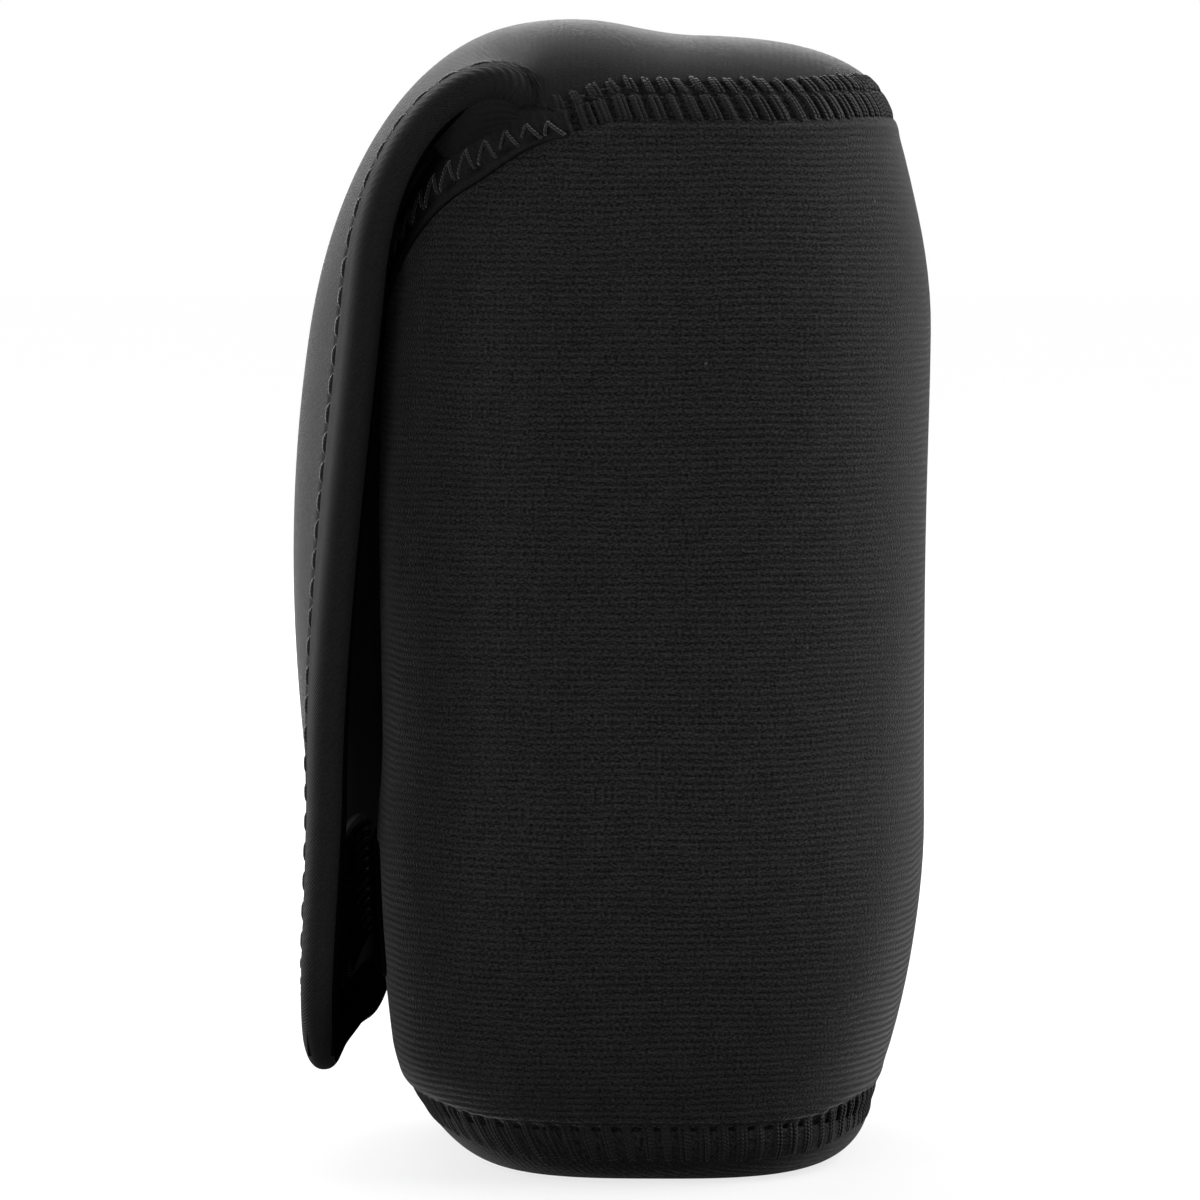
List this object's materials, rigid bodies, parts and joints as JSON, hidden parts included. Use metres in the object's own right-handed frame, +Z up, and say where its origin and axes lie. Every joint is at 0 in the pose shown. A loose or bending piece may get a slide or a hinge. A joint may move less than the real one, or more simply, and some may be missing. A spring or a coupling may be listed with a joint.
{
  "type": "camera sleeve",
  "caption": "Upright padded camera sleeve of black neoprene with a rounded body, a domed crown and a bound front flap that closes with hook and loop.",
  "frame": {"origin": "on the surface that the sleeve stands on, in the middle of its base", "axes": "+X across the sleeve, -Y out of the front that the flap covers, +Z up"},
  "size_m": [0.09, 0.0775, 0.1361],
  "materials": {
    "neoprene": "black knit jersey laminated on closed-cell neoprene, matt with a soft sheen",
    "binding_tape": "black smooth stretch binding, slightly satin",
    "thread": "black polyester sewing thread with a soft sheen",
    "loop_tape": "black brushed loop pile, matt",
    "hook_tape": "black nylon hook tape"
  },
  "bodies": {
    "sleeve": {"body_wrap": "neoprene", "base_panel": "neoprene", "crown_panel": "neoprene", "mouth_binding": "binding_tape", "mouth_stitch": "thread", "crown_seam_stitch": "thread", "base_seam_stitch": "thread", "back_seam_stitch": "thread", "loop_patch": "loop_tape", "loop_patch_stitch": "thread"},
    "flap": {"flap_panel": "neoprene", "flap_binding_left": "binding_tape", "flap_binding_right": "binding_tape", "flap_topstitch_left": "thread", "flap_topstitch_right": "thread"},
    "flap_tab": {"tab_panel": "neoprene", "tab_binding": "binding_tape", "tab_topstitch": "thread", "hook_patch": "hook_tape", "hook_patch_stitch": "thread"}
  },
  "joints": [
    {"name": "flap_lift", "type": "hinge", "parent": "sleeve", "child": "flap", "pos_m": [0, -0.0124, 0.13648], "axis": [-1, 0, 0], "range_deg": [0, 175]},
    {"name": "tab_peel", "type": "hinge", "parent": "flap", "child": "flap_tab", "pos_m": [0, -0.04268, 0.044], "axis": [-1, 0, 0], "range_deg": [0, 60]}
  ]
}
